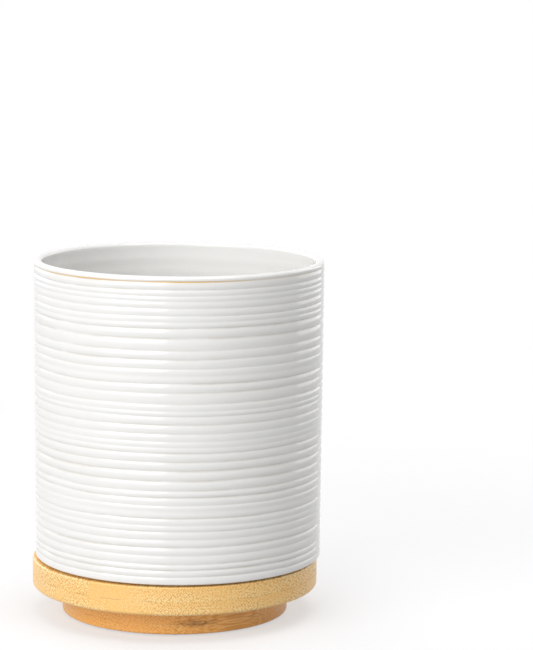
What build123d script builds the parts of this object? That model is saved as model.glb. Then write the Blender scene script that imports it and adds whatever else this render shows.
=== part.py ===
"""Utensil crock: a ribbed, glazed stoneware crock that stands in the seat of a small bamboo turntable.

The tray turns on a base disc over a ring bearing with a race of balls, and the crock lifts straight up off the tray.
Millimetres, +Z up. The origin is on the turntable's axis, on the surface that the rubber feet stand on,
and the object's front faces -Y. The pieces follow from the floor up, as they stack.
"""

import os

from build123d import *

os.makedirs("parts", exist_ok=True)

# Shared
cut_overrun = 1.0  # how far a cut runs past the face that it opens

# Tray, the larger disc, which turns and carries the crock
tray_radius = 75.2
tray_thickness = 15.0
tray_top_edge = 0.8
tray_bottom_edge = 1.8
seat_depth = 2.5  # of the round seat in the tray's top

# Rubber feet, pressed into pockets under the base disc
foot_count = 4
foot_radius = 6.0
foot_height = 2.5
foot_sink = 1.5  # the part of the height that is inside the pocket
foot_inset = 10.0  # from the base disc's edge to the foot's centre
foot_edge = 0.4
foot_pocket_gap = 0.15

# Base disc, the smaller disc, which stands still
base_inset = 15.7  # from the tray's edge in to the base disc's
base_thickness = 11.0
base_edge = 0.9
tray_slit = 2.5  # the open slit between base disc and tray

# Ring bearing: a hub screwed to the base disc, a ring round it screwed to the tray, and caged balls between
ball_count = 12
ball_radius = 2.5
race_radius = 32.0  # of the circle of ball centres
race_clearance = 0.08  # between a ball and the grooves that it runs in
cage_thickness = 1.6
cage_clearance = 0.4  # between the cage and the metal on each side
cage_pocket_gap = 0.1  # round each ball
cage_rail = 0.6  # the cage's height above and below a ball's pocket
cage_cover = 0.8  # from the cage to the board above it or below it
bearing_step = 0.7  # how far hub and ring stand clear of the board that they aren't screwed to
hub_bore_radius = 8.0
ring_width = 11.0
ring_edge = 0.5
bearing_pocket_gap = 0.5

# Countersunk wood screws, four for the hub and four for the ring
screw_count = 4
screw_shank_radius = 1.7
screw_head_radius = 3.3
screw_point = 2.5
screw_sink = 0.2  # how far the head lies below the metal's face
screw_clearance = 0.1
screw_point_gap = 0.8  # between the screw's point and the end of its hole
wood_left = 1.5  # the least wood between a screw's hole and the board's far face
access_radius = 4.5  # the hole in the base disc through which the ring's screws are driven
access_angle = 45.0  # degrees from the first screw

# Crock
crock_overhang = 0.8  # how far the crock's side is outside the tray's, on radius
crock_height = 157.4  # without the foot ring
crock_lift = 0.6  # the dark line between the tray's top and the crock's lower edge
wall = 4.5
floor_thickness = 5.6
inside_corner = 9.0
bottom_edge = 1.2
lip_round = 1.5  # height of the rim's rounded top
lip_side = 2.5  # height of the lip's side below that
rib_relief = 0.42  # how far the tallest rib stands out of the grooves beside it
bottom_band = 4.1  # the plain band below the ribs
foot_ring_inset = 14.5  # from the crock's side in to the foot ring's
foot_ring_width = 5.5
foot_ring_edge = 0.8
seat_clearance = 2.0  # round the foot ring, when the crock stands in the middle of its seat
seat_nearest_gap = 0.4  # what is left on the right, because the crock stands off centre

# Ribs as thrown, from the bottom up: each rib's height as a share of the ribbed height
rib_shares = (6, 6, 8, 10, 9, 8, 6, 7, 7, 6, 8, 8, 10, 11, 9, 10, 6, 6, 7)
rib_shares += (9, 9, 6, 7, 11, 9, 10, 5, 9, 10, 12, 11, 6, 6, 8, 7, 5, 6, 7)

# Levels, from the floor up
base_bottom = foot_height - foot_sink
base_top = base_bottom + base_thickness
tray_bottom = base_top + tray_slit
tray_top = tray_bottom + tray_thickness
seat_floor = tray_top - seat_depth
race_level = base_top + tray_slit / 2
cage_height = 2 * (ball_radius + cage_pocket_gap + cage_rail)
bearing_bottom = race_level - cage_height / 2 - cage_cover
bearing_top = race_level + cage_height / 2 + cage_cover
hub_top = bearing_top - bearing_step
ring_bottom = bearing_bottom + bearing_step
crock_bottom = tray_top + crock_lift
crock_top = crock_bottom + crock_height
crock_shift = seat_clearance - seat_nearest_gap

# Radii, from the tray's
base_radius = tray_radius - base_inset
foot_circle = base_radius - foot_inset
crock_radius = tray_radius + crock_overhang
inner_radius = crock_radius - wall
foot_ring_radius = crock_radius - foot_ring_inset
foot_ring_inner = foot_ring_radius - foot_ring_width
seat_radius = foot_ring_radius + seat_clearance

# The bearing and its screws
hub_radius = race_radius - cage_thickness / 2 - cage_clearance
ring_bore_radius = race_radius + cage_thickness / 2 + cage_clearance
ring_radius = ring_bore_radius + ring_width
bearing_pocket_radius = ring_radius + bearing_pocket_gap
hub_screw_circle = (hub_bore_radius + hub_radius) / 2
ring_screw_circle = (ring_bore_radius + ring_radius) / 2
screw_hole_radius = screw_shank_radius + screw_clearance
countersink_radius = screw_head_radius + screw_clearance + screw_sink
pilot_depth = min(hub_top - base_bottom, seat_floor - ring_bottom) - wood_left
screw_length = pilot_depth - screw_point_gap - screw_sink

# Planes that screws go in through, each facing the way their heads face
hub_face = Plane.XY.offset(hub_top)
ring_face = Plane(origin=(0, 0, ring_bottom), z_dir=(0, 0, -1))


# Rubber feet
for number in range(foot_count):
    with BuildPart() as rubber_foot:
        with BuildSketch():
            with PolarLocations(foot_circle, 1, start_angle=number * 360 / foot_count):
                Circle(foot_radius)
        extrude(amount=foot_height)
        chamfer(rubber_foot.edges().group_by(Axis.Z)[0], length=foot_edge)
    rubber_foot.part.label = f"rubber_foot_{number + 1}"
    export_step(rubber_foot.part, f"parts/rubber_foot_{number + 1}.step")


# Base disc: a pocket on top for the bearing, pockets below for the feet, and a hole to drive screws through
with BuildPart() as base_disc:
    with BuildSketch(Plane.XY.offset(base_bottom)):
        Circle(base_radius)
    extrude(amount=base_thickness)
    fillet(base_disc.edges(), radius=base_edge)
    with BuildSketch(Plane.XY.offset(bearing_bottom)):
        Circle(bearing_pocket_radius)
    extrude(amount=base_thickness, mode=Mode.SUBTRACT)
    with BuildSketch(Plane.XY.offset(foot_height)):
        with PolarLocations(foot_circle, foot_count):
            Circle(foot_radius + foot_pocket_gap)
    extrude(amount=-foot_height, mode=Mode.SUBTRACT)
    with BuildSketch(Plane.XY.offset(bearing_bottom + cut_overrun)):
        with PolarLocations(ring_screw_circle, 1, start_angle=access_angle):
            Circle(access_radius)
    extrude(amount=-bearing_bottom - cut_overrun, mode=Mode.SUBTRACT)
    with Locations(hub_face):
        with PolarLocations(hub_screw_circle, screw_count):
            Hole(screw_hole_radius, depth=pilot_depth)
base_disc.part.label = "base_disc"
export_step(base_disc.part, "parts/base_disc.step")


# The space that the balls run in, which is cut half out of the hub and half out of the ring
with BuildPart() as race_space:
    with Locations(Plane.XY.offset(race_level)):
        Torus(race_radius, ball_radius + race_clearance)

# Bearing hub, which stands still, with its half of the race outside
with BuildPart() as bearing_hub:
    with BuildSketch(Plane.XY.offset(bearing_bottom)):
        Circle(hub_radius)
        Circle(hub_bore_radius, mode=Mode.SUBTRACT)
    extrude(amount=hub_top - bearing_bottom)
    chamfer(bearing_hub.edges(), length=ring_edge)
    add(race_space.part, mode=Mode.SUBTRACT)
    with Locations(hub_face):
        with PolarLocations(hub_screw_circle, screw_count):
            CounterSinkHole(screw_hole_radius, countersink_radius, counter_sink_angle=90)
bearing_hub.part.label = "bearing_hub"
export_step(bearing_hub.part, "parts/bearing_hub.step")


# Bearing ring, which turns with the tray, with its half of the race inside
with BuildPart() as bearing_ring:
    with BuildSketch(Plane.XY.offset(ring_bottom)):
        Circle(ring_radius)
        Circle(ring_bore_radius, mode=Mode.SUBTRACT)
    extrude(amount=bearing_top - ring_bottom)
    chamfer(bearing_ring.edges(), length=ring_edge)
    add(race_space.part, mode=Mode.SUBTRACT)
    with Locations(ring_face):
        with PolarLocations(ring_screw_circle, screw_count):
            CounterSinkHole(screw_hole_radius, countersink_radius, counter_sink_angle=90)
bearing_ring.part.label = "bearing_ring"
export_step(bearing_ring.part, "parts/bearing_ring.step")


# Balls, which hold hub and ring together and roll round the hub at about half the tray's speed
with BuildPart() as bearing_balls:
    with Locations(Plane.XY.offset(race_level)):
        with PolarLocations(race_radius, ball_count):
            Sphere(ball_radius)
bearing_balls.part.label = "bearing_balls"
export_step(bearing_balls.part, "parts/bearing_balls.step")

# Cage, a thin upright hoop with a round pocket for each ball
with BuildPart() as ball_cage:
    with BuildSketch(Plane.XY.offset(race_level - cage_height / 2)):
        Circle(race_radius + cage_thickness / 2)
        Circle(race_radius - cage_thickness / 2, mode=Mode.SUBTRACT)
    extrude(amount=cage_height)
    with Locations(Plane.XY.offset(race_level)):
        with PolarLocations(race_radius, ball_count):
            Cylinder(
                ball_radius + cage_pocket_gap,
                2 * ball_radius,
                rotation=(0, 90, 0),
                mode=Mode.SUBTRACT,
            )
ball_cage.part.label = "ball_cage"
export_step(ball_cage.part, "parts/ball_cage.step")


# One countersunk screw, its head's top at the origin and its point down
with BuildPart() as wood_screw:
    with BuildSketch(Plane.XZ):
        with BuildLine():
            Polyline(
                (0, 0),
                (screw_head_radius, 0),
                (screw_shank_radius, screw_shank_radius - screw_head_radius),
                (screw_shank_radius, screw_point - screw_length),
                (0, -screw_length),
                close=True,
            )
        make_face()
    revolve(axis=Axis.Z)

# Screws that hold the hub to the base disc
with BuildPart() as base_screws:
    with Locations(hub_face.offset(-screw_sink)):
        with PolarLocations(hub_screw_circle, screw_count):
            add(wood_screw.part)
base_screws.part.label = "base_screws"
export_step(base_screws.part, "parts/base_screws.step")

# Screws that hold the ring to the tray, driven from below
with BuildPart() as tray_screws:
    with Locations(ring_face.offset(-screw_sink)):
        with PolarLocations(ring_screw_circle, screw_count):
            add(wood_screw.part)
tray_screws.part.label = "tray_screws"
export_step(tray_screws.part, "parts/tray_screws.step")


# Tray: a shallow seat on top for the crock's foot ring, and a pocket below for the bearing
with BuildPart() as turntable_tray:
    with BuildSketch(Plane.XY.offset(tray_bottom)):
        Circle(tray_radius)
    extrude(amount=tray_thickness)
    fillet(turntable_tray.edges().group_by(Axis.Z)[-1], radius=tray_top_edge)
    fillet(turntable_tray.edges().group_by(Axis.Z)[0], radius=tray_bottom_edge)
    with BuildSketch(Plane.XY.offset(seat_floor)):
        Circle(seat_radius)
    extrude(amount=seat_depth + cut_overrun, mode=Mode.SUBTRACT)
    with BuildSketch(Plane.XY.offset(bearing_top)):
        Circle(bearing_pocket_radius)
    extrude(amount=-tray_thickness, mode=Mode.SUBTRACT)
    with Locations(ring_face):
        with PolarLocations(ring_screw_circle, screw_count):
            Hole(screw_hole_radius, depth=pilot_depth)
turntable_tray.part.label = "turntable_tray"
export_step(turntable_tray.part, "parts/turntable_tray.step")


# Crock: one profile of the floor, ribbed wall and foot ring, turned about its own axis
crock_axis = Axis((crock_shift, 0, 0), (0, 0, 1))
crock_plane = Plane(origin=(crock_shift, 0, 0), x_dir=(1, 0, 0), z_dir=(0, -1, 0))
inside_floor = crock_bottom + floor_thickness
lip_top = crock_top - lip_round
lip_bottom = lip_top - lip_side
groove_radius = crock_radius - rib_relief
ribs_bottom = crock_bottom + bottom_band
share_height = (lip_bottom - rib_relief - ribs_bottom) / sum(rib_shares)
rib_bulge = rib_relief / max(rib_shares)

with BuildPart() as crock:
    with BuildSketch(crock_plane):
        with BuildLine():
            underside = Polyline(
                (0, inside_floor),
                (0, crock_bottom),
                (foot_ring_inner, crock_bottom),
                (foot_ring_inner, seat_floor + foot_ring_edge),
                (foot_ring_inner + foot_ring_edge, seat_floor),
                (foot_ring_radius - foot_ring_edge, seat_floor),
                (foot_ring_radius, seat_floor + foot_ring_edge),
                (foot_ring_radius, crock_bottom),
                (crock_radius - bottom_edge, crock_bottom),
            )
            RadiusArc(underside @ 1, (crock_radius, crock_bottom + bottom_edge), -bottom_edge)
            Polyline(
                (crock_radius, crock_bottom + bottom_edge),
                (crock_radius, ribs_bottom - rib_relief),
                (groove_radius, ribs_bottom),
            )
            level = ribs_bottom
            for share in rib_shares:
                next_level = level + share * share_height
                SagittaArc((groove_radius, level), (groove_radius, next_level), -share * rib_bulge)
                level = next_level
            Polyline((groove_radius, level), (crock_radius, lip_bottom), (crock_radius, lip_top))
            SagittaArc((crock_radius, lip_top), (inner_radius, lip_top), -lip_round)
            FilletPolyline(
                (inner_radius, lip_top),
                (inner_radius, inside_floor),
                (0, inside_floor),
                radius=inside_corner,
            )
        make_face()
    revolve(axis=crock_axis)
crock.part.label = "crock"
export_step(crock.part, "parts/crock.step")
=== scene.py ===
import math

import bmesh
import bpy
from mathutils import Matrix, Vector, noise


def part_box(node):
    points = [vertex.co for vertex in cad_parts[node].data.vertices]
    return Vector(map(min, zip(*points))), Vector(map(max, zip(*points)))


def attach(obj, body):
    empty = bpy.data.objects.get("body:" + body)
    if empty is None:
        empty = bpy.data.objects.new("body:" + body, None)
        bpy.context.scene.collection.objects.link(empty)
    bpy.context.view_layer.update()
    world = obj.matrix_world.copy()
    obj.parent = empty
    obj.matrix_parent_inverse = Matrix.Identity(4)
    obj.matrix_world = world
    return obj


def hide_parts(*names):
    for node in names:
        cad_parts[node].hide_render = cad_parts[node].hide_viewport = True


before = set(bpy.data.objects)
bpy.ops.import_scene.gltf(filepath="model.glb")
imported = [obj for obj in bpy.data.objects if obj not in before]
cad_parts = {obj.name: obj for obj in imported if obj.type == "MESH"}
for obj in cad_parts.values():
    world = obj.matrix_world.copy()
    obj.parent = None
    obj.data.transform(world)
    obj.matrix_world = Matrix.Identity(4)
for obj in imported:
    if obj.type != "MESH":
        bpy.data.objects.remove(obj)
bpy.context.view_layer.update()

# Base disc
# The smaller of two bamboo boards, turned from strips glued side by side in two layers, and
# lacquered. It stands still. A knuckle of the cane shows at its front as a brown smudge.
MM = 0.001
DISC_BOARD = 1
DISC_GRAIN_TURN = math.radians(58)
DISC_STRIP_WIDTH = 21 * MM
DISC_FIBRE_CONTRAST = 0.68
DISC_PALE = (0.99, 0.475, 0.105)
DISC_DEEP = (0.50, 0.18, 0.036)
DISC_CREAM = (0.97, 0.62, 0.25)
KNUCKLE_ANGLE = math.radians(-80.0)
KNUCKLE_LEVEL = 6.8 * MM
KNUCKLE_HALF_WIDTH = 13 * MM
KNUCKLE_HALF_HEIGHT = 2.4 * MM


def add_node(tree, kind, inputs=None, **settings):
    """Add a shader node, set its properties, and fill its sockets with values or links."""
    node = tree.nodes.new("ShaderNode" + kind)
    for name, value in settings.items():
        setattr(node, name, value)
    for key, value in (inputs or {}).items():
        if isinstance(value, bpy.types.NodeSocket):
            tree.links.new(value, node.inputs[key])
        else:
            node.inputs[key].default_value = value
    return node


def calculate(tree, operation, *values, clamp=False):
    """One Math node: values are numbers or sockets."""
    inputs = dict(enumerate(values))
    return add_node(tree, "Math", inputs, operation=operation, use_clamp=clamp).outputs[0]


def line(tree, value, slope, start, clamp=False):
    """Value times slope, added to start."""
    return calculate(tree, "MULTIPLY_ADD", value, slope, start, clamp=clamp)


def fade(tree, value, low, high):
    """0 below low, 1 above high, smooth between, and the other way round if low is above high."""
    inputs = {"Value": value, "From Min": low, "From Max": high}
    return add_node(tree, "MapRange", inputs, interpolation_type="SMOOTHSTEP").outputs[0]


def blend(tree, share, first, second):
    """Mix two colours by the second one's share."""
    node = add_node(tree, "Mix", data_type="RGBA")
    share_socket, first_socket, second_socket = node.inputs[0], node.inputs[6], node.inputs[7]
    for socket, value in ((share_socket, share), (first_socket, first), (second_socket, second)):
        if isinstance(value, bpy.types.NodeSocket):
            tree.links.new(value, socket)
        else:
            socket.default_value = (*value, 1) if isinstance(value, tuple) else value
    return node.outputs[2]


def tint(first, second, share):
    """A fixed colour between two colours."""
    return tuple(a * (1 - share) + b * share for a, b in zip(first, second))


def darker(colour, share):
    """A fixed colour with only that share of its light."""
    return tuple(part * share for part in colour)


def place(tree, turn=0.0, scale=(1, 1, 1), offset=(0, 0, 0)):
    """Object coordinates, turned about Z and then scaled and moved."""
    where = add_node(tree, "TexCoord").outputs["Object"]
    inputs = {"Vector": where, "Angle": turn}
    turned = add_node(tree, "VectorRotate", inputs, rotation_type="Z_AXIS").outputs[0]
    inputs = {"Vector": turned, "Scale": scale, "Location": offset}
    return add_node(tree, "Mapping", inputs).outputs[0]


def length_of(tree, vector):
    """How long a vector is."""
    return add_node(tree, "VectorMath", {0: vector}, operation="LENGTH").outputs["Value"]


def cloud(tree, vector, scale, detail, roughness=0.55):
    """Noise between 0 and 1 with the given number of features per unit."""
    inputs = {"Vector": vector, "Scale": scale, "Detail": detail, "Roughness": roughness}
    return add_node(tree, "TexNoise", inputs).outputs[0]


def sway(tree, vector, scale):
    """Slow noise to both sides of zero."""
    return calculate(tree, "SUBTRACT", cloud(tree, vector, scale, detail=2.0), 0.5)


def new_material(name):
    """A new material and its empty node tree."""
    material = bpy.data.materials.new(name)
    material.use_nodes = True
    material.node_tree.nodes.clear()
    return material, material.node_tree


def finish_material(tree, colour, roughness, bump, **sockets):
    """The surface shader and the output. Sockets are fixed numbers for the shader's own inputs."""
    inputs = {"Base Color": colour, "Roughness": roughness, "Normal": bump}
    inputs.update({key.replace("_", " "): value for key, value in sockets.items()})
    surface = add_node(tree, "BsdfPrincipled", inputs)
    add_node(tree, "OutputMaterial", {"Surface": surface.outputs[0]})


def bump_from(tree, height, distance, strength, before=None):
    """A Bump node's normal: height is 0 to 1, over a depth in metres."""
    inputs = {"Height": height, "Distance": distance, "Strength": strength}
    if before is not None:
        inputs["Normal"] = before
    return add_node(tree, "Bump", inputs).outputs[0]


def knuckle_over(tree, wood, deep, centre, half_width, half_height):
    """A knuckle of the cane over the wood: a brown smudge of wavering rings, wider than high."""
    depth_share = 0.25
    object_place = add_node(tree, "TexCoord").outputs["Object"]
    inputs = {0: object_place, 1: centre}
    from_centre = add_node(tree, "VectorMath", inputs, operation="SUBTRACT").outputs[0]
    squeeze = (1 / half_width, depth_share / half_width, 1 / half_height)
    inputs = {0: from_centre, 1: squeeze}
    squeezed = add_node(tree, "VectorMath", inputs, operation="MULTIPLY").outputs[0]

    waver_reach = 1.5
    ring_turns = 19.0
    waver = cloud(tree, squeezed, scale=1.6, detail=3.0)
    reach = calculate(tree, "SUBTRACT", length_of(tree, squeezed), waver_reach / 2)
    reach = line(tree, waver, waver_reach, reach)
    rings = calculate(tree, "SINE", calculate(tree, "MULTIPLY", reach, ring_turns))
    rings = line(tree, rings, slope=0.32, start=0.58)
    smudge = fade(tree, cloud(tree, squeezed, scale=2.3, detail=2.0), low=0.30, high=0.62)
    rings = calculate(tree, "MULTIPLY", rings, line(tree, smudge, slope=0.8, start=0.45))

    brown_strength = 0.95
    brown = calculate(tree, "MULTIPLY", rings, fade(tree, reach, low=1.10, high=0.35))
    brown = calculate(tree, "MULTIPLY", brown, brown_strength)
    return blend(tree, brown, wood, darker(deep, 0.50))


def bamboo(name, board, turn, strip_width, glue_level, colours, fibre_contrast, knuckle=None):
    """Laminated bamboo all the way through: fibres show as dots where cut and as streaks along.

    The board's number picks its strips. The texture's own lengths are in millimetres.
    """
    pale, deep, cream = colours
    material, tree = new_material(name)
    millimetres = place(tree, turn, scale=(1 / MM, 1 / MM, 1 / MM))
    across, along, up = add_node(tree, "SeparateXYZ", {"Vector": millimetres}).outputs

    # Two layers of strips, the upper ones shifted against the lower ones
    layer_shift = 0.43
    over_glue = calculate(tree, "SUBTRACT", up, glue_level / MM)
    layer = calculate(tree, "GREATER_THAN", over_glue, 0.0)
    strips_across = calculate(tree, "DIVIDE", across, strip_width / MM)
    shifted = line(tree, layer, layer_shift, strips_across)
    strip = calculate(tree, "FLOOR", shifted)
    in_strip = calculate(tree, "FRACT", shifted)
    key = add_node(tree, "CombineXYZ", {0: strip, 1: layer, 2: board}).outputs[0]
    chance = add_node(tree, "TexWhiteNoise", {"Vector": key}, noise_dimensions="3D").outputs
    strip_value = chance["Value"]
    strip_fibres = add_node(tree, "SeparateColor", {"Color": chance["Color"]}).outputs["Green"]

    # Fibre bundles, thicker towards the outer side of the cane, which faces up in some strips and
    # down in others. The pattern is flat, so that each bundle runs on along the fibre.
    cane_wall = 7.5
    rows_per_mm = 0.62
    columns_per_mm = 0.70
    columns_to_next_strip = 17.0
    flip = calculate(tree, "GREATER_THAN", strip_value, 0.5)
    height = calculate(tree, "FRACT", calculate(tree, "DIVIDE", over_glue, cane_wall))
    height = calculate(tree, "ABSOLUTE", calculate(tree, "SUBTRACT", height, flip))
    row = calculate(tree, "MULTIPLY", up, rows_per_mm)
    row = line(tree, sway(tree, millimetres, scale=0.03), slope=0.6, start=row)
    column = calculate(tree, "MULTIPLY", across, columns_per_mm)
    column = line(tree, strip_value, columns_to_next_strip, column)
    bundle_place = add_node(tree, "CombineXYZ", {
        0: calculate(tree, "ADD", column, row),
        1: calculate(tree, "SUBTRACT", column, row),
    }).outputs[0]
    bundles = add_node(
        tree,
        "TexVoronoi",
        {"Vector": bundle_place, "Scale": 1.0, "Randomness": 0.62, "Smoothness": 0.30},
        voronoi_dimensions="2D",
        feature="SMOOTH_F1",
    ).outputs["Distance"]
    dot_edge = line(tree, height, slope=0.16, start=0.24)
    dot_softness = 0.10
    past_edge = calculate(tree, "SUBTRACT", bundles, dot_edge)
    dots = fade(tree, past_edge, low=dot_softness, high=-dot_softness)
    uneven = fade(tree, cloud(tree, bundle_place, scale=0.9, detail=2.0), low=0.30, high=0.64)
    gaps = calculate(tree, "MULTIPLY", fade(tree, bundles, low=0.30, high=0.52), uneven)
    crowded = line(tree, strip_fibres, slope=0.55, start=0.22)
    crowded = line(tree, sway(tree, millimetres, scale=0.05), slope=2.0, start=crowded)
    crowded = fade(tree, crowded, low=0.0, high=0.80)

    # Long streaks, and slow changes of tone from strip to strip
    strip_jump = 90.0
    along_squeeze = 0.035
    streak_place = add_node(tree, "CombineXYZ", {
        0: calculate(tree, "ADD", across, calculate(tree, "MULTIPLY", strip_value, strip_jump)),
        1: calculate(tree, "MULTIPLY", along, along_squeeze),
        2: up,
    }).outputs[0]
    streaks = cloud(tree, streak_place, scale=0.55, detail=4.0, roughness=0.6)
    fine_streaks = cloud(tree, streak_place, scale=2.6, detail=2.0, roughness=0.5)
    patches = cloud(tree, millimetres, scale=0.035, detail=2.0, roughness=0.5)
    tone = line(tree, streaks, slope=0.55, start=-0.18)
    tone = line(tree, strip_value, slope=0.12, start=tone)
    tone = line(tree, patches, slope=0.10, start=tone, clamp=True)
    wood = blend(tree, tone, pale, tint(pale, deep, 0.38))
    wood = blend(tree, fade(tree, fine_streaks, low=0.56, high=0.78), wood, tint(pale, deep, 0.3))

    # Deep colour in the gaps between bundles, and cream on the cut bundles
    gap_share = line(tree, crowded, slope=0.52 * fibre_contrast, start=0.12 * fibre_contrast)
    wood = blend(tree, calculate(tree, "MULTIPLY", gaps, gap_share), wood, deep)
    dot_share = line(tree, crowded, slope=0.62 * fibre_contrast, start=0.25 * fibre_contrast)
    wood = blend(tree, calculate(tree, "MULTIPLY", dots, dot_share), wood, cream)

    # Thin glue lines between strips and, broken up, between layers
    joint_width = 0.10
    joint_strength = 0.5
    glue_strength = 0.62
    side = calculate(tree, "ABSOLUTE", calculate(tree, "SUBTRACT", in_strip, 0.5))
    joint_line = fade(tree, side, low=0.5 - joint_width / (strip_width / MM), high=0.5)
    joint_line = calculate(tree, "MULTIPLY", joint_line, joint_strength)
    layer_line = fade(tree, calculate(tree, "ABSOLUTE", over_glue), low=0.22, high=0.06)
    broken = fade(tree, cloud(tree, millimetres, scale=0.09, detail=2.0), low=0.42, high=0.62)
    layer_line = calculate(tree, "MULTIPLY", layer_line, broken)
    glue = calculate(tree, "MAXIMUM", joint_line, layer_line)
    glue_share = calculate(tree, "MULTIPLY", glue, glue_strength)
    wood = blend(tree, glue_share, wood, darker(deep, 0.8))

    if knuckle is not None:
        wood = knuckle_over(tree, wood, deep, *knuckle)

    # Grain under the lacquer: bundles and streaks stand up, and the glue lies a little lower
    streak_height = 0.5
    glue_depth = 0.6
    grain = calculate(tree, "MULTIPLY", fine_streaks, streak_height)
    grain = line(tree, dots, slope=0.35, start=grain)
    grain = calculate(tree, "SUBTRACT", grain, calculate(tree, "MULTIPLY", glue, glue_depth))
    normal = bump_from(tree, grain, distance=0.06 * MM, strength=0.8)
    shine = line(tree, streaks, slope=0.16, start=0.36)
    finish_material(tree, wood, shine, normal, Coat_Weight=0.18, Coat_Roughness=0.22)
    return material


def dress(node, material):
    """Give a CAD node's object one material."""
    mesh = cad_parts[node].data
    mesh.materials.clear()
    mesh.materials.append(material)


low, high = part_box("base_disc")
disc_radius = (high.x - low.x) / 2
knuckle_place = (
    disc_radius * math.cos(KNUCKLE_ANGLE),
    disc_radius * math.sin(KNUCKLE_ANGLE),
    KNUCKLE_LEVEL,
)
disc_bamboo = bamboo(
    "base_disc_bamboo",
    DISC_BOARD,
    DISC_GRAIN_TURN,
    DISC_STRIP_WIDTH,
    (low.z + high.z) / 2,
    (DISC_PALE, DISC_DEEP, DISC_CREAM),
    DISC_FIBRE_CONTRAST,
    (knuckle_place, KNUCKLE_HALF_WIDTH, KNUCKLE_HALF_HEIGHT),
)
dress("base_disc", disc_bamboo)

# Rubber feet
# Four soft grey-black pads, moulded, pressed into pockets under the base disc.
# Their skin is matt and slightly grained, with dust in the grain.
RUBBER_DARK = (0.018, 0.018, 0.020)
RUBBER_DUST = (0.075, 0.073, 0.070)

rubber, tree = new_material("foot_rubber")
grain = cloud(tree, place(tree), scale=2400, detail=3.0)
dust = cloud(tree, place(tree), scale=260, detail=4.0)
rubber_colour = blend(tree, fade(tree, dust, low=0.45, high=0.80), RUBBER_DARK, RUBBER_DUST)
rubber_shine = line(tree, dust, slope=0.2, start=0.62)
rubber_skin = bump_from(tree, grain, distance=0.08 * MM, strength=0.6)
finish_material(tree, rubber_colour, rubber_shine, rubber_skin)
for node_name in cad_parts:
    if node_name.startswith("rubber_foot"):
        dress(node_name, rubber)

# Tray
# The larger bamboo board, turned the same way, which carries the crock in a shallow seat.
# Its strips end at the front, so the cut fibres show there as rows of pale dots in two layers.
TRAY_BOARD = 2
TRAY_GRAIN_TURN = math.radians(8)
TRAY_STRIP_WIDTH = 24 * MM
TRAY_FIBRE_CONTRAST = 0.90
TRAY_PALE = (0.99, 0.60, 0.19)
TRAY_DEEP = (0.62, 0.26, 0.048)
TRAY_CREAM = (1.0, 0.81, 0.43)

low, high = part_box("turntable_tray")
tray_bamboo = bamboo(
    "tray_bamboo",
    TRAY_BOARD,
    TRAY_GRAIN_TURN,
    TRAY_STRIP_WIDTH,
    (low.z + high.z) / 2,
    (TRAY_PALE, TRAY_DEEP, TRAY_CREAM),
    TRAY_FIBRE_CONTRAST,
)
dress("turntable_tray", tray_bamboo)

# Bearing
# Hub and ring are turned aluminium, the cage is natural nylon and the balls are polished steel.
# All of it is closed in between the two boards, with zinc-plated screws through hub and ring.
ALUMINIUM_LIGHT = (0.72, 0.73, 0.75)
ALUMINIUM_DARK = (0.52, 0.53, 0.55)
STEEL_BRIGHT = (0.64, 0.65, 0.67)
STEEL_GREY = (0.55, 0.56, 0.58)
NYLON_MILKY = (0.80, 0.78, 0.70)
ZINC_WARM = (0.66, 0.62, 0.48)
ZINC_BLUE = (0.52, 0.55, 0.60)


def metal(name, light, dark, roughness, tool_marks):
    """Metal with fine turning marks round the axis and a slow change of tone."""
    material, tree = new_material(name)
    x, y, z = add_node(tree, "SeparateXYZ", {"Vector": place(tree)}).outputs
    from_axis = length_of(tree, add_node(tree, "CombineXYZ", {0: x, 1: y}).outputs[0])
    mark_place = add_node(tree, "CombineXYZ", {0: from_axis, 2: z}).outputs[0]
    marks = cloud(tree, mark_place, scale=4200, detail=2.0)
    colour = blend(tree, cloud(tree, place(tree), scale=60, detail=3.0), light, dark)
    shine = line(tree, marks, slope=0.18, start=roughness)
    normal = bump_from(tree, marks, distance=0.02 * MM, strength=tool_marks)
    finish_material(tree, colour, shine, normal, Metallic=1.0)
    return material


aluminium = metal(
    "turned_aluminium", ALUMINIUM_LIGHT, ALUMINIUM_DARK, roughness=0.26, tool_marks=0.9
)
dress("bearing_hub", aluminium)
dress("bearing_ring", aluminium)
steel = metal("ball_steel", STEEL_BRIGHT, STEEL_GREY, roughness=0.04, tool_marks=0.05)
dress("bearing_balls", steel)
zinc = metal("zinc_plate", ZINC_WARM, ZINC_BLUE, roughness=0.22, tool_marks=0.3)
dress("base_screws", zinc)
dress("tray_screws", zinc)

nylon, tree = new_material("cage_nylon")
flow = cloud(tree, place(tree), scale=320, detail=3.0)
nylon_colour = blend(tree, flow, NYLON_MILKY, darker(NYLON_MILKY, 0.86))
nylon_shine = line(tree, flow, slope=0.2, start=0.38)
nylon_skin = bump_from(tree, flow, distance=0.05 * MM, strength=0.4)
finish_material(tree, nylon_colour, nylon_shine, nylon_skin, Subsurface_Weight=0.15)
dress("ball_cage", nylon)

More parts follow.
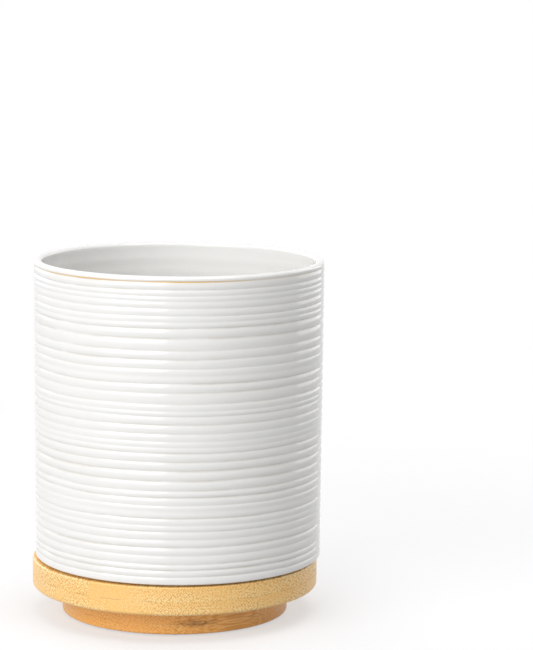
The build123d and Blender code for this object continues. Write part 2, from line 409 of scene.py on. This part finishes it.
# Crock
# Thick stoneware, thrown with uneven ribs that the potter's fingers left, under a glossy white
# glaze, which is thin and warm in the grooves and breaks to the tan body under the lip. It stands
# in the tray's seat on a foot ring without glaze.
RIBS = (
    (7, 1.2), (6, 1.3), (9, 0.9), (8, 0.7), (8, 1.3), (8, 0.7), (6, 0.7), (7, 0.4),
    (7, 0.9), (6, 0.2), (8, 0.8), (7, 1.4), (10, 0.9), (10, 1.0), (9, 1.1), (9, 0.9),
    (6, 1.0), (5.5, 0.4), (7.5, 0.5), (9, 0.9), (9, 1.0), (5, 0.7), (7, 0.4), (11, 0.9),
    (9, 0.9), (8, 1.1), (7, 0.3), (9, 0.8), (9, 1.0), (12, 0.7), (10, 1.0), (6, 1.2),
    (6, 0.5), (8, 1.0), (7, 0.8), (5, 0.4), (6, 0.5), (8, 1.0),
)  # each rib from the bottom up: its share of the height, and how deep the groove below it is
TOP_GROOVE = 1.0
GROOVE_DEPTH = 0.44 * MM
RIB_ROUNDNESS = 0.8
RIB_STEPS = 10
PLAIN_BAND = 4.1 * MM
BAND_END = 1.2 * MM
BAND_DIP = 0.15 * MM
BAND_DIP_BELOW = 0.5 * MM
LIP_SIDE = 0.8 * MM
LIP_ROUND = 1.5 * MM
LIP_UNDERCUT = 0.12 * MM
LIP_EDGE = 0.4 * MM
LIP_STEPS = 12
BOTTOM_EDGE = 1.2 * MM
BOTTOM_FLAT = 2 * MM
BOTTOM_STEPS = 5
CROCK_TAPER = 0.8 * MM
WALL = 4.5 * MM
UNDERSIDE_GAP = 1.0 * MM
FLOOR_THICKNESS = 5.2 * MM
INSIDE_CORNER = 9 * MM
INSIDE_CORNER_STEPS = 10
FOOT_RING_OUT = 61.5 * MM
FOOT_RING_WIDTH = 5.5 * MM
FOOT_EDGE = 0.8 * MM
FOOT_STEPS = 4
FINGER_RING_PITCH = 7 * MM
FINGER_RING_DEPTH = 0.16 * MM
FINGER_RING_STEPS = 5
CROCK_SEGMENTS = 160
WELD = 0.001 * MM


def arc(centre, radius, start, end, steps):
    """Points of a round stretch of the profile, from one angle to another in degrees."""
    points = []
    for step in range(steps + 1):
        angle = math.radians(start + (end - start) * step / steps)
        points.append((centre[0] + radius * math.cos(angle), centre[1] + radius * math.sin(angle)))
    return points


def finger_rings(length):
    """Along a stretch of the inside: how far along each point lies and how deep it is sunk in."""
    count = round(length / FINGER_RING_PITCH)
    for step in range(1, count * FINGER_RING_STEPS):
        turn = step / FINGER_RING_STEPS
        depth = FINGER_RING_DEPTH * (1 - math.cos(2 * math.pi * turn)) / 2
        yield length * turn / count, depth


low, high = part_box("crock")
crock_middle = Vector(((low.x + high.x) / 2, (low.y + high.y) / 2, 0))
crock_radius = (high.x - low.x) / 2
seat_level = low.z
rim_level = high.z
bottom_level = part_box("turntable_tray")[1].z + UNDERSIDE_GAP
floor_level = bottom_level + FLOOR_THICKNESS
lip_top = rim_level - LIP_ROUND
lip_bottom = lip_top - LIP_SIDE
inner_radius = crock_radius - WALL
corner_top = floor_level + INSIDE_CORNER
floor_radius = inner_radius - INSIDE_CORNER
foot_in = FOOT_RING_OUT - FOOT_RING_WIDTH
foot_edge_level = seat_level + FOOT_EDGE
ribs_bottom = bottom_level + PLAIN_BAND
share_height = (lip_bottom - GROOVE_DEPTH - ribs_bottom) / sum(share for share, depth in RIBS)

# The profile, from the middle of the underside round the foot ring and up the side
profile = [(0, bottom_level), (foot_in, bottom_level), (foot_in, foot_edge_level)]
profile += arc((foot_in + FOOT_EDGE, foot_edge_level), FOOT_EDGE, 180, 270, FOOT_STEPS)
profile += arc((FOOT_RING_OUT - FOOT_EDGE, foot_edge_level), FOOT_EDGE, 270, 360, FOOT_STEPS)
profile.append((FOOT_RING_OUT, bottom_level))
profile.append((crock_radius - BOTTOM_EDGE - BOTTOM_FLAT, bottom_level))
edge_middle = (crock_radius - BOTTOM_EDGE, bottom_level + BOTTOM_EDGE)
profile += arc(edge_middle, BOTTOM_EDGE, 270, 360, BOTTOM_STEPS)
profile.append((crock_radius, ribs_bottom - BAND_END))
profile.append((crock_radius - BAND_DIP, ribs_bottom - BAND_DIP_BELOW))
level = ribs_bottom
next_depths = [depth for share, depth in RIBS[1:]] + [TOP_GROOVE]
for (share, depth), next_depth in zip(RIBS, next_depths):
    height = share * share_height
    for step in range(RIB_STEPS):
        part = step / RIB_STEPS
        hollow = 1 - math.sin(math.pi * part) ** RIB_ROUNDNESS
        hollow *= depth + (next_depth - depth) * part
        profile.append((crock_radius - GROOVE_DEPTH * hollow, level + height * part))
    level += height

# The lip, and down the inside to the middle of its floor
profile.append((crock_radius - GROOVE_DEPTH, level))
profile.append((crock_radius - LIP_UNDERCUT, lip_bottom - LIP_UNDERCUT))
profile += [(crock_radius, lip_bottom + LIP_EDGE), (crock_radius, lip_top)]
rim_middle = (crock_radius + inner_radius) / 2
for step in range(1, LIP_STEPS):
    angle = math.pi * step / LIP_STEPS
    height = lip_top + LIP_ROUND * math.sin(angle)
    profile.append((rim_middle + WALL / 2 * math.cos(angle), height))
profile.append((inner_radius, lip_top))
for way, depth in finger_rings(lip_top - corner_top):
    profile.append((inner_radius + depth, lip_top - way))
profile += arc((floor_radius, corner_top), INSIDE_CORNER, 0, -90, INSIDE_CORNER_STEPS)
for way, depth in finger_rings(floor_radius):
    profile.append((floor_radius - way, floor_level - depth))
profile.append((0, floor_level))

bm = bmesh.new()
points = [bm.verts.new((radius, 0, height)) for radius, height in profile]
edges = [bm.edges.new(pair) for pair in zip(points, points[1:])]
bmesh.ops.spin(
    bm,
    geom=points + edges,
    cent=(0, 0, 0),
    axis=(0, 0, 1),
    angle=2 * math.pi,
    steps=CROCK_SEGMENTS,
    use_merge=True,
)
bmesh.ops.remove_doubles(bm, verts=bm.verts, dist=WELD)
bmesh.ops.recalc_face_normals(bm, faces=bm.faces)

# The potter's hand: ribs waver a little up and down, grooves fade in and out on the way round,
# the side leans in towards the foot, and the finger rings inside climb and sink
RIB_WAVER = 0.35 * MM
RIB_SWELL = 0.12 * MM
GROOVE_FADING = 0.6
FINGER_RING_CLIMB = 1.2 * MM
CLIMB_RUN_IN = 10 * MM
SIDE_MARGIN = 1 * MM
INSIDE_MARGIN = 0.5 * MM
WAVER_NOISE = (22, 90, 0, 0)  # changes in a metre around and up, and shifts in X and Y
SWELL_NOISE = (14, 40, 5, 0)
FADING_NOISE = (11, 75, 0, 3)
CLIMB_NOISE = (12, 30, 0, 9)


def hand(point, around, up, shift_x, shift_y):
    """Smooth noise from -1 to 1 at a point of the crock."""
    x, y = point.x * around + shift_x, point.y * around + shift_y
    return noise.noise(Vector((x, y, point.z * up)))


groove_layer = bm.verts.layers.float.new("groove")
for vert in bm.verts:
    radius = vert.co.xy.length
    beside_ribs = ribs_bottom - SIDE_MARGIN < vert.co.z < lip_bottom + SIDE_MARGIN
    if beside_ribs and radius > crock_radius - 2 * GROOVE_DEPTH:
        waver = hand(vert.co, *WAVER_NOISE)
        swell = hand(vert.co, *SWELL_NOISE)
        fading = hand(vert.co, *FADING_NOISE)
        hollow = (crock_radius - radius) * (1 + GROOVE_FADING * fading)
        vert[groove_layer] = min(max(hollow / GROOVE_DEPTH, 0), 1)
        vert.co.xy *= (crock_radius - hollow + RIB_SWELL * min(swell, 0)) / radius
        vert.co.z += RIB_WAVER * waver
    if radius > inner_radius + INSIDE_MARGIN and vert.co.z < lip_bottom:
        lean = CROCK_TAPER * (lip_bottom - vert.co.z) / (lip_bottom - bottom_level)
        vert.co.xy *= 1 - lean / radius
    if abs(radius - inner_radius) < INSIDE_MARGIN and corner_top < vert.co.z < lip_top:
        free = min(vert.co.z - corner_top, lip_top - vert.co.z, CLIMB_RUN_IN) / CLIMB_RUN_IN
        vert.co.z += FINGER_RING_CLIMB * free * hand(vert.co, *CLIMB_NOISE)
bmesh.ops.translate(bm, verts=bm.verts, vec=crock_middle)
mesh = bpy.data.meshes.new("crock_glazed")
bm.to_mesh(mesh)
bm.free()
mesh.shade_smooth()
crock = bpy.data.objects.new("crock_glazed", mesh)
bpy.context.scene.collection.objects.link(crock)

GLAZE_WHITE = (0.86, 0.855, 0.84)
GLAZE_THIN = (0.70, 0.65, 0.565)
GLAZE_BREAK = (0.78, 0.50, 0.17)
BARE_BODY = (0.60, 0.50, 0.38)
GROOVE_WARMTH = 0.55
LINE_WARMTH = 0.10
BREAK_RISE = 0.1 * MM
BREAK_DEPTH = 2 * MM
BREAK_STRENGTH = 0.9
BARE_HEIGHT = 2.0 * MM
BARE_FADE = 0.4 * MM

glaze, tree = new_material("white_glaze")
groove = add_node(tree, "Attribute", attribute_name="groove").outputs["Fac"]
from_middle = place(tree, offset=tuple(-crock_middle))
x, y, z = add_node(tree, "SeparateXYZ", {"Vector": from_middle}).outputs
from_axis = length_of(tree, add_node(tree, "CombineXYZ", {0: x, 1: y}).outputs[0])
mottle = cloud(tree, place(tree), scale=55, detail=4.0)
throw_place = place(tree, scale=(6, 6, 420))
throw_lines = cloud(tree, throw_place, scale=1.0, detail=5.0, roughness=0.65)

# Thin, warm glaze in the grooves and along the finest lines from throwing
mottled = fade(tree, mottle, low=0.30, high=0.62)
warm = calculate(tree, "MULTIPLY", fade(tree, groove, low=0.35, high=1.0), mottled)
warm = calculate(tree, "MULTIPLY", warm, GROOVE_WARMTH)
glaze_colour = blend(tree, warm, GLAZE_WHITE, GLAZE_THIN)
thin_lines = fade(tree, throw_lines, low=0.55, high=0.75)
thin_lines = calculate(tree, "MULTIPLY", thin_lines, LINE_WARMTH)
glaze_colour = blend(tree, thin_lines, glaze_colour, GLAZE_THIN)

# The line under the lip where the glaze breaks, patchy, and fainter to the right
break_level = lip_bottom - GROOVE_DEPTH + BREAK_RISE
from_line = calculate(tree, "ABSOLUTE", calculate(tree, "SUBTRACT", z, break_level))
break_line = fade(tree, from_line, low=0.62 * MM, high=0.22 * MM)
on_side = calculate(tree, "GREATER_THAN", from_axis, crock_radius - BREAK_DEPTH)
patch_noise = cloud(tree, place(tree, scale=(1, 1, 0.1)), scale=12, detail=2.0)
to_the_left = line(tree, fade(tree, x, low=45 * MM, high=5 * MM), slope=0.75, start=0.25)
patchy = fade(tree, patch_noise, low=0.20, high=0.55)
patchy = calculate(tree, "MULTIPLY", patchy, to_the_left)
break_share = calculate(tree, "MULTIPLY", break_line, on_side)
break_share = calculate(tree, "MULTIPLY", break_share, patchy)
break_share = calculate(tree, "MULTIPLY", break_share, BREAK_STRENGTH)
glaze_colour = blend(tree, break_share, glaze_colour, GLAZE_BREAK)

# The bare foot ring
bare_end = seat_level + BARE_HEIGHT
bare = fade(tree, z, low=bare_end, high=bare_end - BARE_FADE)
body_grain = cloud(tree, place(tree), scale=900, detail=4.0)
body_colour = blend(tree, body_grain, BARE_BODY, darker(BARE_BODY, 0.75))
crock_colour = blend(tree, bare, glaze_colour, body_colour)
shine = line(tree, bare, slope=0.65, start=line(tree, mottle, slope=0.06, start=0.07))
ripple = bump_from(tree, throw_lines, distance=0.10 * MM, strength=0.5)
pit_noise = cloud(tree, place(tree), scale=160, detail=2.0)
pits = bump_from(tree, pit_noise, distance=0.10 * MM, strength=0.35, before=ripple)
finish_material(tree, crock_colour, shine, pits, IOR=1.5)
mesh.materials.append(glaze)
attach(crock, "crock")
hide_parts("crock")

# Stage
# A pale floor without an edge in sight, and white air. A broad lamp at the front left gives the
# light, one above softens it, and two weak ones behind keep the sides from going dark.
FLOOR_PALE = (0.93, 0.93, 0.94)
FLOOR_SPECK = (0.8, 0.8, 0.8)
FLOOR_BOUNCE = (0.42, 0.42, 0.42)
FLOOR_HALF = 40
SPECK_SHARE = 0.03
WHITE_NEAR = 0.55
SHADOW_REACH = 0.26
WHITE_REACH = 0.62
LAMP_AIM = Vector((0, 0, 90 * MM))
AIR_LIGHT = 0.28
VIEW_FOCAL_PIXELS = 2784
PHOTO_HEIGHT_PIXELS = 650
SENSOR = 36
VIEW_DISTANCE = 1.4443
VIEW_HEIGHT = 0.3656
VIEW_DOWN = math.radians(8.39)
VIEW_RIGHT = math.radians(1.82)
VIEW_ROLL = math.radians(0.51)


def seen_directly(tree):
    """1 for what the camera, a glossy or a clear surface sees, 0 for what only lights things."""
    path = add_node(tree, "LightPath").outputs
    seen = calculate(tree, "MAXIMUM", path["Is Camera Ray"], path["Is Glossy Ray"])
    return calculate(tree, "MAXIMUM", seen, path["Is Transmission Ray"])


bm = bmesh.new()
bmesh.ops.create_grid(bm, x_segments=1, y_segments=1, size=FLOOR_HALF)
floor_mesh = bpy.data.meshes.new("pale_floor")
bm.to_mesh(floor_mesh)
bm.free()
floor = bpy.data.objects.new("pale_floor", floor_mesh)
bpy.context.scene.collection.objects.link(floor)
floor_material, tree = new_material("floor_paper")
speck = cloud(tree, place(tree), scale=30, detail=3.0)
speck = calculate(tree, "MULTIPLY", speck, SPECK_SHARE)
floor_colour = blend(tree, speck, FLOOR_PALE, FLOOR_SPECK)
floor_colour = blend(tree, seen_directly(tree), FLOOR_BOUNCE, floor_colour)
paper = add_node(tree, "BsdfPrincipled", {"Base Color": floor_colour, "Roughness": 0.7})
white_glow = add_node(tree, "Emission", {"Color": (1, 1, 1, 1), "Strength": 1.0})
far_away = fade(tree, length_of(tree, place(tree)), low=SHADOW_REACH, high=WHITE_REACH)
white_share = line(tree, far_away, 1 - WHITE_NEAR, WHITE_NEAR)
white_share = calculate(tree, "MULTIPLY", white_share, seen_directly(tree))
inputs = {0: white_share, 1: paper.outputs[0], 2: white_glow.outputs[0]}
add_node(tree, "OutputMaterial", {"Surface": add_node(tree, "MixShader", inputs).outputs[0]})
floor_mesh.materials.append(floor_material)


def lamp(name, spot, size, power):
    """A soft rectangular lamp that faces the object's middle."""
    light = bpy.data.lights.new(name, "AREA")
    light.shape = "RECTANGLE"
    light.size, light.size_y = size
    light.energy = power
    holder = bpy.data.objects.new(name, light)
    facing = (LAMP_AIM - Vector(spot)).to_track_quat("-Z", "Y").to_matrix().to_4x4()
    holder.matrix_world = Matrix.Translation(spot) @ facing
    bpy.context.scene.collection.objects.link(holder)


lamp("key_left", spot=(-1.10, -1.52, 0.80), size=(1.9, 1.3), power=30)
lamp("top_soft", spot=(0.10, -0.25, 1.75), size=(1.4, 1.4), power=15)
lamp("panel_right", spot=(1.20, 0.92, 0.55), size=(1.3, 1.2), power=6)
lamp("fill_back", spot=(-0.95, 1.30, 0.75), size=(1.5, 1.2), power=10)

world = bpy.data.worlds.new("studio_air")
bpy.context.scene.world = world
world.use_nodes = True
tree = world.node_tree
air_strength = line(tree, seen_directly(tree), 1 - AIR_LIGHT, AIR_LIGHT)
air = tree.nodes["Background"]
air.inputs["Color"].default_value = (1, 1, 1, 1)
tree.links.new(air_strength, air.inputs["Strength"])

camera_data = bpy.data.cameras.new("photo_view")
camera_data.sensor_width = SENSOR
camera_data.lens = VIEW_FOCAL_PIXELS / PHOTO_HEIGHT_PIXELS * SENSOR
camera = bpy.data.objects.new("photo_view", camera_data)
turn = Matrix.Rotation(-VIEW_RIGHT, 4, "Z") @ Matrix.Rotation(math.pi / 2 - VIEW_DOWN, 4, "X")
stand = Matrix.Translation((crock_middle.x, crock_middle.y - VIEW_DISTANCE, VIEW_HEIGHT))
camera.matrix_world = stand @ turn @ Matrix.Rotation(VIEW_ROLL, 4, "Z")
bpy.context.scene.collection.objects.link(camera)
bpy.context.scene.camera = camera
bpy.context.scene.view_settings.view_transform = "Standard"
